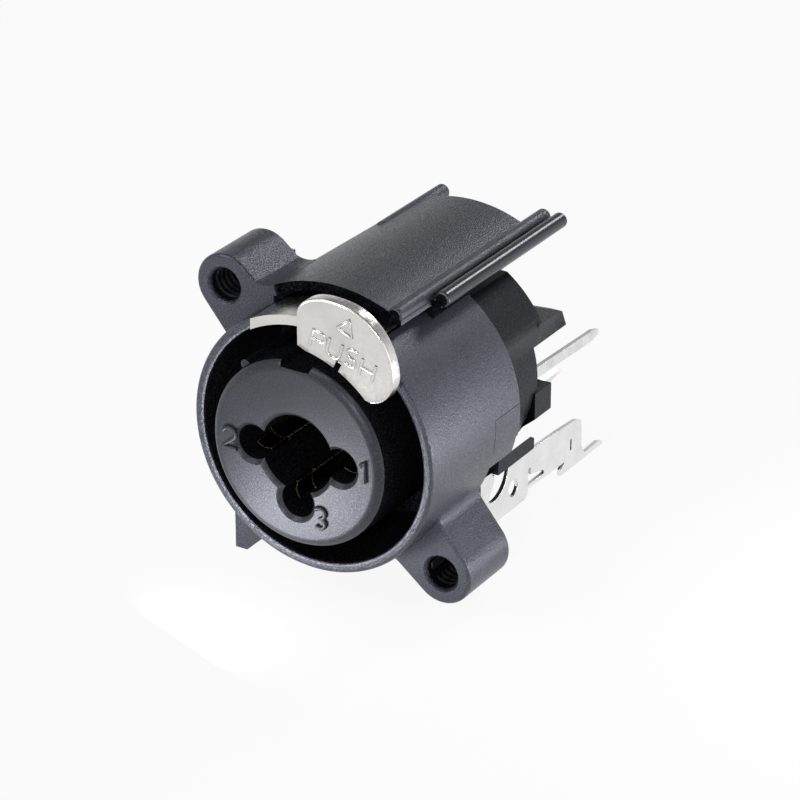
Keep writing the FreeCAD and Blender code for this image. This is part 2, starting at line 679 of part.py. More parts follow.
def ground_plate():
    """Flat plate: finger in the lower ear, free front end, solder tab at the rear."""
    left, right = plate_outer_x - plate, plate_outer_x
    outline = [(finger_front_y, plate_low_z), (finger_front_y, finger_high_z), (plate_front_y, finger_high_z),
               (plate_front_y, plate_tip_z), (plate_rim_y, plate_tip_z), (plate_rim_y, plate_rim_z),
               (plate_edge[0][0], plate_rim_z)]
    solid = prism_x(outline + plate_edge, left, right)
    crescent = rod_x(crescent_r, left - over, right + over, crescent_y, crescent_z)
    free_end = [(0, 0), (crescent_edge[0][0], 0)] + crescent_edge + [(crescent_edge[1][0], -far), (0, -far)]
    crescent = crescent.cut(prism_x(free_end, left - over, right + over))
    hole = rod_x(plate_hole_r, left - over, right + over, plate_hole_y, plate_hole_z)
    fine_slot = box(left - over, right + over, fine_slot_y, fine_slot_y + fine_slot_width,
                    fine_slot_top_z - fine_slot_height, fine_slot_top_z)
    return solid.cut([crescent, hole, prism_x(corner_slot, left - over, right + over), fine_slot])


def ground_strip():
    """Strip beside the upper left screw, the mirror of the plate's finger."""
    return box(-plate_outer_x, -plate_outer_x + plate, finger_front_y, ear_depth + strip_behind_ear,
               -finger_high_z, -plate_low_z)


def shell_contact():
    """Bowed leaf against the barrel's wall, for the plug's shell."""
    centre = collar_bore_r - shell_spring_gap - shell_spring / 2
    rear = flange_front_y - fit_gap
    middle = (shell_spring_front_y + rear) / 2
    points = [(centre, shell_spring_front_y), (centre - shell_spring_bump, middle), (centre, rear)]
    leaf = strip_path(points, shell_spring, shell_spring_width / 2)
    return turned(leaf, shell_spring_angle)


# Latch

def push_tab():
    """Flat push plate, whose lower edge follows the collar."""
    def at(point):
        return FreeCAD.Vector(point[0], tab_front_y, point[1])

    low_r = collar_bore_r - tab_overhang
    left, right = tab_low_angles
    low_left = polar(low_r, left)
    low_right = polar(low_r, right)
    side_foot = (tab_left_x, low_left[1] + tab_corner)
    rim = [polar(low_r + rise, angle) for rise, angle in tab_crown]
    crown = Part.BSplineCurve()
    crown.interpolate([at(point) for point in rim])
    edges = [Part.Arc(at(low_left), at(polar(low_r, (left + right) / 2)), at(low_right)).toShape(),
             Part.makeLine(at(low_right), at(rim[-1])), crown.toShape(),
             Part.makeLine(at(rim[0]), at(side_foot)), Part.makeLine(at(side_foot), at(low_left))]
    solid = Part.Face(Part.Wire(Part.__sortEdges__(edges))).extrude(FreeCAD.Vector(0, tab_thickness, 0))
    notch = box(low_r - over, low_r + tab_notch_depth, tab_front_y - over, tab_front_y + tab_thickness + over,
                -tab_notch_width / 2, tab_notch_width / 2)
    return solid.cut(turned(notch, tab_notch_angle))


def latch_arm():
    """Arm under the roof, with the slope that lifts the hook and the lug that stops the latch."""
    rise = (pin_y - hook_ear_y) * math.tan(math.radians(hook_lift_deg)) / latch_travel
    slope_y = hook_ear_y - latch_travel
    slope_foot_z = hook_low_z - cam_gap
    side = [(latch_bridge_rear_y - over, arm_low_z), (arm_rear_y, arm_low_z),
            (arm_rear_y, slope_foot_z - rise * (arm_rear_y - hook_ear_y)),
            (slope_y, slope_foot_z + rise * latch_travel), (slope_y - slope_run, body_r),
            (latch_bridge_rear_y - over, body_r)]
    left, right = arm_x - arm_width / 2, arm_x + arm_width / 2
    bar = prism_x(side, left, right).common(cyl(body_r, -far, far))
    lug_y = stop_front_y + stop_length + fit_gap
    lug = tube(roof_inner_r - lug_drop, arm_low_z, lug_y, lug_y + lug_length)
    return joined(bar, lug.common(box(left, right, -far, far, arm_low_z, far)))


def push_latch():
    bridge = tube(body_r, latch_inner_r, latch_front_y, latch_bridge_rear_y)
    bridge = bridge.common(box(-latch_half, latch_half, -far, far, 0, far))
    neck = tube(body_r, latch_inner_r, tab_front_y + tab_thickness / 2, latch_front_y + over)
    neck = neck.common(box(tab_left_x + neck_inset, latch_half, -far, far, 0, far))
    arm = latch_arm()
    return joined(push_tab(), bridge, neck, arm, mirrored(arm))


def latch_hook():
    arm = box(-hook_half, hook_half, hook_front_y, pin_y, hook_low_z, hook_top_z)
    tooth = box(-hook_half, hook_half, hook_front_y, hook_front_y + hook_tooth_length,
                hook_tooth_z, hook_top_z)
    eye = rod_x(pin_r + pin_running_gap + hook_eye_wall, -hook_half, hook_half, pin_y, pin_z)
    ears = box(-hook_ear_half, hook_ear_half, hook_ear_y, hook_ear_y + hook_ear_length,
               hook_low_z, hook_top_z)
    return joined(arm, tooth, eye, ears).cut(rod_x(pin_r + pin_running_gap, -far, far, pin_y, pin_z))


def hook_pin(gap=0.0):
    """Pin from the left cheek, right through it, to the middle of the right cheek."""
    left_x = channel_left_x - cheek_wall - pin_proud
    return rod_x(pin_r + gap, left_x, slot_half + cheek_wall / 2 + gap, pin_y, pin_z)


def hook_spring():
    """Coil on the hook's pin, with one leg over the hook's ear and one under the roof."""
    coil_r = pin_r + coil_gap + coil_wire_r
    start_x = -hook_half - coil_start_gap
    helix = Part.makeHelix(coil_pitch, coil_pitch * coil_turns, coil_r)
    section = Part.Wire(Part.makeCircle(coil_wire_r, FreeCAD.Vector(coil_r, 0, 0), FreeCAD.Vector(0, 1, 0)))
    spring = Part.Wire(helix.Edges).makePipeShell([section], True, True)
    length = coil_pitch * coil_turns
    for along_axis, y, rise in ((0, coil_front_y, coil_front_rise), (length, coil_rear_y, coil_rear_rise)):
        root = FreeCAD.Vector(coil_r, 0, along_axis)
        along = FreeCAD.Vector(hook_top_z + rise - pin_z, y - pin_y, along_axis) - root
        tail = FreeCAD.Vector(along).normalize() * leg_root
        leg = Part.makeCylinder(coil_wire_r, along.Length + leg_root, root - tail, along)
        spring = spring.fuse(Part.makeSphere(leg_ball_r, root)).fuse(leg)
    # The coil is wound about Z, and then laid along X with its legs' roots at the top.
    spring.rotate(FreeCAD.Vector(0, 0, 0), FreeCAD.Vector(0, 1, 0), -90)
    spring.translate(FreeCAD.Vector(start_x, pin_y, pin_z))
    return spring


nodes = {
    "front_housing": front_housing(),
    "contact_insert": contact_insert(),
    "rear_carrier": rear_carrier(),
    **{"pin_contact_%d" % (i + 1): pin_contact(angle) for i, angle in enumerate(pin_angles)},
    **{name + "_contact": jack_contact(name, angle) for name, angle in jack_contact_angles.items()},
    "ground_plate": ground_plate(),
    "ground_strip": ground_strip(),
    "shell_contact": shell_contact(),
    "push_latch": push_latch(),
    "latch_hook": latch_hook(),
    "hook_pin": hook_pin(),
    "hook_spring": hook_spring(),
}

os.makedirs("parts", exist_ok=True)
for name, shape in nodes.items():
    shape.exportStep("parts/" + name + ".step")
    print(name, shape.isValid(), len(shape.Solids), round(shape.Volume, 2))
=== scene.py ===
import json
import math

import bmesh
import bpy
from mathutils import Matrix, Vector


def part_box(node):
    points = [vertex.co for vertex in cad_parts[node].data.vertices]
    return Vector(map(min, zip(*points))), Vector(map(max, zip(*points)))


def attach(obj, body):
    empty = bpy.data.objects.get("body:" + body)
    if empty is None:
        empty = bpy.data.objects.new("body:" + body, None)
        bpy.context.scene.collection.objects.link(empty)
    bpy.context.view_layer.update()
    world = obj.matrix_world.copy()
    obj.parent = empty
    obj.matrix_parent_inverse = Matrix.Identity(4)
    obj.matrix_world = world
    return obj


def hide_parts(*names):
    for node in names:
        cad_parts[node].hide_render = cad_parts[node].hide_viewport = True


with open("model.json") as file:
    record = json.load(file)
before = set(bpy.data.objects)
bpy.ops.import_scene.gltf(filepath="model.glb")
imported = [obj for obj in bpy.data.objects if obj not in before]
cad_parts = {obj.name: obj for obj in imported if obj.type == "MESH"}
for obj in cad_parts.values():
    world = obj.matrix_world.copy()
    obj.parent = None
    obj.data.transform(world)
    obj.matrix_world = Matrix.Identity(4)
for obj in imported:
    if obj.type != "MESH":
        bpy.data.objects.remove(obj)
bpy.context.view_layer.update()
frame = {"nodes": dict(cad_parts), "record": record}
nodes = frame["nodes"]
record = frame["record"]

MM = 0.001


def lowest(node):
    """Lowest corner of a node at rest, in millimetres."""
    return Vector(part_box(node)[0]) / MM


def highest(node):
    """Highest corner of a node at rest, in millimetres."""
    return Vector(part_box(node)[1]) / MM


# Places on the object, in millimetres in the part's own frame
FACE_Y = lowest("contact_insert").y
TAB_FRONT_Y = lowest("push_latch").y
SLEEVE_FRONT_Y = lowest("pin_contact_1").y
TIPPED_TAB_REAR_Y = highest("sleeve_contact").y
HOUSING_LOW_Z = lowest("front_housing").z
CARRIER_REAR_Y = 16.3
COLLAR_BORE_R = 10.0
COLLAR_FRONT_Y = -3.0
EAR_CENTRE = 9.9           # screw holes, from the axis along X and Z
EAR_DEPTH = 6.0
HOLE_R = 1.35
OUTER_RAIL_X = 6.97
RAIL_Z = 10.87
RAIL_R = 0.65
PIN_CIRCLE_R = 3.96
SLEEVE_R = 1.4

# Where each material begins and ends on the moulded pieces, in millimetres
FACE_EDGE_DEPTH = 1.5      # insert's face with its rounded edge, behind which its side gets painted shade
FLUSH_R = 10.6             # outside this the carrier's blocks lie flush with the housing
BORE_MARGIN = 0.2
COLLAR_LIP = 0.1
HOLE_MARGIN = 0.3
RAIL_MARGIN = 0.1
ROOF_FRONT_LOW_Z = 8.0
ROOF_FRONT_LOW_R = 11.0
ROOF_FRONT_Y = (0.2, 0.6)
RAIL_STEP_LOW_Z = 9.0
RAIL_STEP_Y = (4.0, 5.3)
UNDER_RAIL_X = 4.5
UNDER_RAIL_Z = (9.0, 10.2)

# Limits on one part of a face's normal, which is 1 where the face looks straight along that axis
ALONG_AXIS = 0.5           # under this along Y, a face runs along the socket's axis
INSERT_ALONG_AXIS = 0.45
STRAIGHT_AHEAD = 0.9
STRAIGHT_RIGHT = 0.8

# Edges, in millimetres and degrees
EDGE_ANGLE = 38.0          # sharper edges than this are rounded
EDGE_STEPS = 2
SAME_POINT = 0.0004
SAME_PLANE_ANGLE = 0.6
ON_TAB_FRONT = 0.01
TAB_ROUND_R = 10.3         # tab's edges outside this radius are rounded
TAB_ROUNDING = 0.5
TAB_ROUND_STEPS = 5
TAB_RIM = 0.14
TAB_FLAT_DEPTH = 0.10      # flat below the rim

# Small added forms, in millimetres and degrees
LIP_WALL = 0.2
LIP_FRONT_Y = FACE_Y + 2.0
LIP_REAR_Y = SLEEVE_FRONT_Y + 0.02
LIP_STEPS = 8
LIP_ROUNDING = 0.05
LIPS = ((1, 0, 235, 300), (2, 180, 225, 292), (3, 270, 150, 225))     # pin, its angle, lip's start and end
THREAD_PITCH = 0.6
THREAD_CREST = 0.13
THREAD_HALF = 0.2
THREAD_ROOT = 0.03         # into the hole's wall
THREAD_START_Y = 0.7
THREAD_BARE_ENDS = 1.2     # both ends of the hole together
THREAD_GAP = 42.0          # half of the opening where metal shows
THREAD_STEPS = 44
THREAD_TAPER_STEPS = 3.0

# Signs, each with its middle along X and Z in millimetres, and the styles of their strokes
TAB_SIGN_Y = TAB_FRONT_Y + 0.16
DIGIT_Y = FACE_Y - 0.08
TAB_LETTERS = (("P", 2.75, 10.7), ("U", 4.2, 10.35), ("S", 5.7, 10.0), ("H", 7.12, 9.35))
PRESS_MARK = (5.35, 12.5)
DIGITS = (("1", 6.17, 0.27), ("2", -5.99, 0.02), ("3", 2.33, -4.74))
LETTER_STYLE = {"height": 1.45, "width": 1.2, "tilt": -16.0, "thickness": 0.30}
MARK_STYLE = {"height": 1.25, "width": 1.0, "tilt": -21.0, "thickness": 0.30}
DIGIT_STYLE = {"height": 1.7, "width": 1.15, "tilt": 0.0, "thickness": 0.36}
ARC_STEPS = 10

# Camera, solved from the photo's round edges, in millimetres and degrees
CAMERA_PLACE = (132.65, -203.81, 120.97)
CAMERA_AZIMUTH = 31.821
CAMERA_ELEVATION = 25.969
CAMERA_LENS = 157.5
SENSOR = 36.0
CAMERA_NEAR = 10.0
CAMERA_FAR = 10000.0

# Floor, in millimetres, and its white
FLOOR_Z = HOUSING_LOW_Z - 0.1
FLOOR_HALF = 1200.0
FLOOR_GREY = 0.9
FLOOR_ROUGHNESS = 0.9
FLOOR_GLOW = 0.90          # share of plain white in what the camera and mirrors see

# Lamps: name, place and size in metres, power in watts
LAMPS = (
    ("key", (-0.16, -0.20, 0.30), 0.20, 0.55),
    ("back", (0.06, 0.32, 0.26), 0.10, 0.35),
    ("side", (0.32, 0.10, 0.10), 0.16, 0.18),
    ("low_right", (0.05, 0.02, -0.011), 0.03, 0.022),
    ("front", (0.12, -0.28, 0.13), 0.03, 0.35),
    ("low_front", (-0.0054, -0.0150, -0.0122), 0.010, 0.0060),
)


# Node helpers

def new_material(name):
    """An empty material with a Principled shader on its output."""
    material = bpy.data.materials.new(name)
    material.use_nodes = True
    tree = material.node_tree
    tree.nodes.clear()
    output = tree.nodes.new("ShaderNodeOutputMaterial")
    shader = tree.nodes.new("ShaderNodeBsdfPrincipled")
    tree.links.new(shader.outputs[0], output.inputs[0])
    return material, tree, shader


def noise(tree, scale, detail, roughness=0.55, stretch=None):
    """Noise in object coordinates, with scale in waves per metre."""
    place = tree.nodes.new("ShaderNodeTexCoord")
    texture = tree.nodes.new("ShaderNodeTexNoise")
    texture.inputs["Scale"].default_value = scale
    texture.inputs["Detail"].default_value = detail
    texture.inputs["Roughness"].default_value = roughness
    source = place.outputs["Object"]
    if stretch:
        mapping = tree.nodes.new("ShaderNodeMapping")
        mapping.inputs["Scale"].default_value = stretch
        tree.links.new(source, mapping.inputs[0])
        source = mapping.outputs[0]
    tree.links.new(source, texture.inputs["Vector"])
    return texture.outputs[0]


def ramp(tree, value, low, high, out_low, out_high):
    """The value, from low to high, mapped to the range from out_low to out_high and kept in it."""
    node = tree.nodes.new("ShaderNodeMapRange")
    for name, number in (("From Min", low), ("From Max", high), ("To Min", out_low), ("To Max", out_high)):
        node.inputs[name].default_value = number
    tree.links.new(value, node.inputs["Value"])
    return node.outputs[0]


def mix_colour(tree, factor, first, second):
    """The first colour where the factor is 0 and the second where it is 1."""
    node = tree.nodes.new("ShaderNodeMix")
    node.data_type = "RGBA"
    tree.links.new(factor, node.inputs[0])
    for socket, colour in ((node.inputs[6], first), (node.inputs[7], second)):
        if isinstance(colour, tuple):
            socket.default_value = (*colour, 1.0)
        else:
            tree.links.new(colour, socket)
    return node.outputs[2]


def bump(tree, height, distance, strength, after=None):
    """A normal raised by this height, on top of another normal if one is given."""
    node = tree.nodes.new("ShaderNodeBump")
    node.inputs["Distance"].default_value = distance
    node.inputs["Strength"].default_value = strength
    tree.links.new(height, node.inputs["Height"])
    if after is not None:
        tree.links.new(after, node.inputs["Normal"])
    return node.outputs[0]


def calculated(tree, operation, first, second):
    """Two values joined by one of the Math node's operations."""
    node = tree.nodes.new("ShaderNodeMath")
    node.operation = operation
    tree.links.new(first, node.inputs[0])
    tree.links.new(second, node.inputs[1])
    return node.outputs[0]


def edge_highlight_mask(tree, reach):
    """1 on outer edges within this reach in millimetres, 0 on flat ground and in corners; the mask of painted
    edge highlights and glints.
    """
    geometry = tree.nodes.new("ShaderNodeNewGeometry")
    rounded = tree.nodes.new("ShaderNodeBevel")
    rounded.samples = 6
    rounded.inputs["Radius"].default_value = reach * MM
    facing = tree.nodes.new("ShaderNodeVectorMath")
    facing.operation = "DOT_PRODUCT"
    tree.links.new(rounded.outputs[0], facing.inputs[0])
    tree.links.new(geometry.outputs["Normal"], facing.inputs[1])
    turned = ramp(tree, facing.outputs["Value"], 0.98, 0.75, 0.0, 1.0)
    return calculated(tree, "MULTIPLY", turned, creases(tree, 2.0 * reach, 0.0))


def creases(tree, reach, floor):
    """1 on open ground, falling to the floor value in corners nearer than this reach in millimetres."""
    node = tree.nodes.new("ShaderNodeAmbientOcclusion")
    node.samples = 12
    node.inputs["Distance"].default_value = reach * MM
    return ramp(tree, node.outputs["AO"], 0.35, 0.95, floor, 1.0)


def along_y(tree, start, end):
    """0 in front of the first place and 1 behind the second, in millimetres along Y."""
    place = tree.nodes.new("ShaderNodeTexCoord")
    split = tree.nodes.new("ShaderNodeSeparateXYZ")
    tree.links.new(place.outputs["Object"], split.inputs[0])
    return ramp(tree, split.outputs["Y"], start * MM, end * MM, 0.0, 1.0)


def any_ray(tree, *names):
    """1 for a ray of one of these kinds."""
    path = tree.nodes.new("ShaderNodeLightPath")
    result = path.outputs[names[0]]
    for name in names[1:]:
        result = calculated(tree, "MAXIMUM", result, path.outputs[name])
    return result


# Materials

COOL_SHEEN = (0.84, 0.86, 1.0, 1.0)
PALE_SPECK = 7.0           # specks, and outer edges lit by a painted highlight, as times the plastic's lighter colour
EDGE_HIGHLIGHT = 3.0
EDGE_HIGHLIGHT_REACH = 0.12
EDGE_HIGHLIGHT_SHARE = 0.6
WAVINESS = 0.006           # depth of a moulding's slow unevenness
CREASE_REACH = 0.8
CREASE_SHADE = 0.3         # painted shade in a metal's creases, as a share of its dull colour
CREASE_FLOOR = 0.1

GOLD = (0.72, 0.50, 0.19)
DULL_GOLD = (0.52, 0.35, 0.12)
# Painted glint on the contacts' edges
PAINTED_GLINT_GOLD = (1.0, 0.83, 0.46)
PAINTED_SHADE_GOLD = (0.030, 0.021, 0.009)       # painted shade deep in the insert's holes
GOLD_TIP = (0.93, 0.79, 0.47)
TIN_PLATE = (0.78, 0.785, 0.78)
DULL_TIN_PLATE = (0.62, 0.625, 0.62)
SHADE_END = (8.0, 11.0)    # gold gets painted shade in front of the first place and none behind the second
GOLD_END_Y = CARRIER_REAR_Y - 0.4
GOLD_FADE = 0.3
TIP_START_Y = TIPPED_TAB_REAR_Y - 0.9
TIP_FADE = 0.4


def moulded_plastic(name, dark, light, rough_low, rough_high, grain, shine, specks):
    """Black glass filled plastic with a fine eroded grain and a painted highlight on its outer edges."""
    material, tree, shader = new_material(name)
    cloud = noise(tree, 260, 3)
    speck = noise(tree, 7800, 2, 0.6)
    base = mix_colour(tree, ramp(tree, cloud, 0.35, 0.65, 0.0, 1.0), dark, light)
    pale = tuple(PALE_SPECK * c for c in light)
    wear_and_edge_highlight = tuple(EDGE_HIGHLIGHT * c for c in light)
    base = mix_colour(tree, ramp(tree, speck, 0.48, 0.66, 0.0, specks), base, pale)
    # Outer edges lightened: a painted highlight
    base = mix_colour(tree, ramp(tree, edge_highlight_mask(tree, EDGE_HIGHLIGHT_REACH), 0.0, 1.0, 0.0, EDGE_HIGHLIGHT_SHARE), base, wear_and_edge_highlight)
    tree.links.new(base, shader.inputs["Base Color"])
    tree.links.new(ramp(tree, speck, 0.35, 0.65, rough_high, rough_low), shader.inputs["Roughness"])
    shader.inputs["Specular IOR Level"].default_value = shine
    shader.inputs["Specular Tint"].default_value = COOL_SHEEN
    normal = bump(tree, noise(tree, 8200, 2, 0.5), grain * MM, 1.0)
    normal = bump(tree, noise(tree, 900, 2), WAVINESS * MM, 0.6, normal)
    tree.links.new(normal, shader.inputs["Normal"])
    return material


def plated_metal(name, colour, dull, rough_low, rough_high, grain, stretch=None):
    """Plated metal with fine grain, faint stains and painted shade in its creases."""
    material, tree, shader = new_material(name)
    cloud = noise(tree, 420, 4)
    painted_crease_shade = tuple(CREASE_SHADE * c for c in dull)
    base = mix_colour(tree, ramp(tree, cloud, 0.4, 0.75, 0.0, 0.7), colour, dull)
    base = mix_colour(tree, creases(tree, CREASE_REACH, CREASE_FLOOR), painted_crease_shade, base)
    tree.links.new(base, shader.inputs["Base Color"])
    shader.inputs["Metallic"].default_value = 1.0
    fine = noise(tree, 2600, 3, stretch=stretch)
    tree.links.new(ramp(tree, fine, 0.3, 0.7, rough_low, rough_high), shader.inputs["Roughness"])
    tree.links.new(bump(tree, fine, grain * MM, 0.8), shader.inputs["Normal"])
    return material


def contact_metal(name, tip_start=None):
    """Gold plated contact with a tin plated solder tab, and a gold tip behind tip_start if that is given; its
    gold has painted shade toward the front and painted glints on its edges.
    """
    material, tree, shader = new_material(name)
    cloud = noise(tree, 700, 3)
    wear_and_edge_highlight = ramp(tree, cloud, 0.35, 0.7, 0.0, 1.0)
    gold = mix_colour(tree, wear_and_edge_highlight, GOLD, DULL_GOLD)
    gold = mix_colour(tree, along_y(tree, *SHADE_END), PAINTED_SHADE_GOLD, gold)
    # Painted glint: edges bright gold and less metallic, so that lamps light them
    edge = edge_highlight_mask(tree, 0.08)
    gold = mix_colour(tree, edge, gold, PAINTED_GLINT_GOLD)
    tin = mix_colour(tree, wear_and_edge_highlight, TIN_PLATE, DULL_TIN_PLATE)
    base = mix_colour(tree, along_y(tree, GOLD_END_Y, GOLD_END_Y + GOLD_FADE), gold, tin)
    if tip_start is not None:
        base = mix_colour(tree, along_y(tree, tip_start, tip_start + TIP_FADE), base, GOLD_TIP)
    tree.links.new(base, shader.inputs["Base Color"])
    tree.links.new(ramp(tree, edge, 0.0, 1.0, 1.0, 0.35), shader.inputs["Metallic"])
    fine = noise(tree, 2600, 3)
    tree.links.new(ramp(tree, fine, 0.3, 0.7, 0.18, 0.34), shader.inputs["Roughness"])
    tree.links.new(bump(tree, fine, 0.004 * MM, 0.8), shader.inputs["Normal"])
    return material


HOUSING_BLACK = moulded_plastic("housing_black", (0.009, 0.0095, 0.0135), (0.014, 0.0148, 0.0205),
                                rough_low=0.26, rough_high=0.42, grain=0.045, shine=0.8, specks=0.8)
RAIL_BLACK = moulded_plastic("rail_black", (0.005, 0.0053, 0.0070), (0.007, 0.0074, 0.0098),
                             rough_low=0.20, rough_high=0.30, grain=0.004, shine=0.75, specks=0.2)
INSERT_BLACK = moulded_plastic("insert_black", (0.011, 0.0115, 0.0145), (0.016, 0.0166, 0.0205),
                               rough_low=0.34, rough_high=0.48, grain=0.014, shine=0.45, specks=0.25)
CARRIER_BLACK = moulded_plastic("carrier_black", (0.006, 0.0063, 0.0085), (0.009, 0.0095, 0.0125),
                                rough_low=0.40, rough_high=0.55, grain=0.030, shine=0.2, specks=0.25)
# Near-black, glossless copy of the plastic: painted shade, put on faces that lie in deep shade
PAINTED_SHADE_BLACK = moulded_plastic("painted_shade_black", (0.002, 0.0021, 0.0027), (0.003, 0.0031, 0.0040),
                               rough_low=0.60, rough_high=0.80, grain=0.010, shine=0.0, specks=0.8)
# Darker copy of the housing's plastic for the thread ridges: painted shade deep in the screw holes
THREAD_SHADE_BLACK = moulded_plastic("thread_shade_black", (0.003, 0.0031, 0.0040), (0.005, 0.0052, 0.0065),
                               rough_low=0.35, rough_high=0.50, grain=0.010, shine=0.2, specks=0.8)
NICKEL = plated_metal("satin_nickel", (0.67, 0.66, 0.64), (0.53, 0.521, 0.505),
                      rough_low=0.18, rough_high=0.30, grain=0.012)
TIN = plated_metal("tinned_strip", (0.80, 0.805, 0.80), (0.66, 0.665, 0.66),
                   rough_low=0.18, rough_high=0.32, grain=0.004, stretch=(0.2, 0.05, 1.0))
STEEL = plated_metal("spring_steel", (0.50, 0.50, 0.50), (0.36, 0.36, 0.37),
                     rough_low=0.25, rough_high=0.4, grain=0.003)
CONTACT = contact_metal("contact_plate")
TIPPED_CONTACT = contact_metal("tipped_contact_plate", TIP_START_Y)

SURFACES = {
    "front_housing": HOUSING_BLACK, "contact_insert": INSERT_BLACK, "rear_carrier": CARRIER_BLACK,
    "pin_contact_1": CONTACT, "pin_contact_2": CONTACT, "pin_contact_3": CONTACT,
    "tip_contact": CONTACT, "ring_contact": TIPPED_CONTACT, "sleeve_contact": TIPPED_CONTACT,
    "ground_plate": TIN, "ground_strip": TIN, "shell_contact": TIN,
    "push_latch": NICKEL, "latch_hook": NICKEL, "hook_pin": STEEL, "hook_spring": STEEL,
}


# Pieces made from the CAD nodes

def new_object(name, data):
    thing = bpy.data.objects.new(name, data)
    bpy.context.scene.collection.objects.link(thing)
    return thing


def body_of(node):
    return next(body for body, members in record["behaviour"]["bodies"].items() if node in members)


def insert_surface(centre, normal):
    """0 on the insert's face, 1 on its side, its flange and the walls of its holes, which get painted shade.
    """
    gets_painted_shade = abs(normal.y) < INSERT_ALONG_AXIS or centre.y > FACE_Y + FACE_EDGE_DEPTH
    return 1 if gets_painted_shade else 0


def housing_surface(centre, normal):
    """0 on the grained ground, 1 where deep shade is painted on the housing and 2 on the smooth outer rail.
    """
    radius = math.hypot(centre.x, centre.z)
    inward = normal.x * centre.x + normal.z * centre.z < 0
    upright = abs(normal.y) < ALONG_AXIS
    ahead = normal.y < -STRAIGHT_AHEAD
    behind_collar_lip = radius < COLLAR_BORE_R + BORE_MARGIN and centre.y > COLLAR_FRONT_Y + COLLAR_LIP
    in_collar = behind_collar_lip and (upright and inward or normal.y < -ALONG_AXIS)
    in_hole = upright and any(
        math.hypot(centre.x - side * EAR_CENTRE, centre.z + side * EAR_CENTRE) < HOLE_R + HOLE_MARGIN
        for side in (1, -1))
    roof_front = (ahead and centre.z > ROOF_FRONT_LOW_Z and radius > ROOF_FRONT_LOW_R
                  and ROOF_FRONT_Y[0] < centre.y < ROOF_FRONT_Y[1])
    rail_step = ahead and centre.z > RAIL_STEP_LOW_Z and RAIL_STEP_Y[0] < centre.y < RAIL_STEP_Y[1]
    under_rail = (normal.x > STRAIGHT_RIGHT and centre.x > UNDER_RAIL_X
                  and UNDER_RAIL_Z[0] < centre.z < UNDER_RAIL_Z[1])
    if in_collar or in_hole or roof_front or rail_step or under_rail:
        return 1
    on_rail = math.hypot(centre.x - OUTER_RAIL_X, centre.z - RAIL_Z) < RAIL_R + RAIL_MARGIN
    return 2 if on_rail and upright else 0


def carrier_surface(centre, normal):
    """0 on the carrier, 1 on its front behind the insert, painted in shade, 2 on what is flush with the
    housing.
    """
    radius = math.hypot(centre.x, centre.z)
    if normal.y < -ALONG_AXIS and radius < COLLAR_BORE_R:
        return 1
    return 2 if abs(normal.y) < ALONG_AXIS and radius > FLUSH_R else 0


def finished(node, bevel, shape=None, surface=None, more=()):
    """A CAD node's own form with moulded or stamped edges rounded, and more materials where surface says."""
    mesh = nodes[node].data.copy()
    piece = new_object(node + "_finished", mesh)
    work = bmesh.new()
    work.from_mesh(mesh)
    bmesh.ops.remove_doubles(work, verts=work.verts, dist=SAME_POINT * MM)
    bmesh.ops.dissolve_limit(work, angle_limit=math.radians(SAME_PLANE_ANGLE), verts=work.verts,
                             edges=work.edges, delimit={"NORMAL"})
    if shape:
        shape(work)
    if surface:
        for face in work.faces:
            face.material_index = surface(face.calc_center_median() / MM, face.normal)
    mesh.materials.clear()
    for material in (SURFACES[node], *more):
        mesh.materials.append(material)
    work.to_mesh(mesh)
    work.free()
    edges = piece.modifiers.new("edges", "BEVEL")
    edges.width = bevel * MM
    edges.segments = EDGE_STEPS
    edges.limit_method = "ANGLE"
    edges.angle_limit = math.radians(EDGE_ANGLE)
    mesh.shade_smooth()
    normals = piece.modifiers.new("normals", "WEIGHTED_NORMAL")
    normals.keep_sharp = True
    normals.weight = 100
    normals.thresh = 0.02
    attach(piece, body_of(node))
    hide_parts(node)


def dressed(node):
    """A CAD node that keeps its own mesh gets its material."""
    materials = nodes[node].data.materials
    materials.clear()
    materials.append(SURFACES[node])


def rounded_tab(work):
    """Rounds the push tab's outer edge and sinks its flat a little inside the rim."""
    def on_front(piece):
        return all(abs(vert.co.y - TAB_FRONT_Y * MM) < ON_TAB_FRONT * MM for vert in piece.verts)

    edges = []
    for edge in work.edges:
        middle = (edge.verts[0].co + edge.verts[1].co) / 2
        if on_front(edge) and math.hypot(middle.x, middle.z) > TAB_ROUND_R * MM:
            edges.append(edge)
    bmesh.ops.bevel(work, geom=edges, offset=TAB_ROUNDING * MM, segments=TAB_ROUND_STEPS, profile=0.5,
                    affect="EDGES", clamp_overlap=True)
    flat = max((face for face in work.faces if on_front(face)), key=lambda face: face.calc_area())
    bmesh.ops.inset_region(work, faces=[flat], thickness=TAB_RIM * MM, depth=-TAB_FLAT_DEPTH * MM)


# Small raised forms

def arc(x, z, radius, start, end):
    """Points along an arc, with the angles in degrees."""
    turn = [math.radians(start + (end - start) * i / ARC_STEPS) for i in range(ARC_STEPS + 1)]
    return [(x + radius * math.cos(a), z + radius * math.sin(a)) for a in turn]


# Strokes of each sign, in a box one high with its lower left corner at the origin
STROKES = {
    "P": [[(0, 0), (0, 1)] + arc(0.42, 0.75, 0.25, 90, -90) + [(0, 0.5)]],
    "U": [[(0, 1)] + arc(0.34, 0.34, 0.34, 180, 360) + [(0.68, 1)]],
    "S": [arc(0.33, 0.74, 0.26, 35, 270) + arc(0.33, 0.24, 0.24, 90, -145)],
    "H": [[(0, 0), (0, 1)], [(0.68, 0), (0.68, 1)], [(0, 0.5), (0.68, 0.5)]],
    "1": [[(0.22, 0.80), (0.42, 1), (0.42, 0)]],
    "2": [arc(0.34, 0.70, 0.30, 160, -35) + [(0, 0), (0.68, 0)]],
    "3": [arc(0.30, 0.75, 0.25, 140, -90) + arc(0.30, 0.25, 0.25, 90, -140)],
    "triangle": [[(0, 0), (0.56, 0.97), (1.12, 0), (0, 0)]],
}


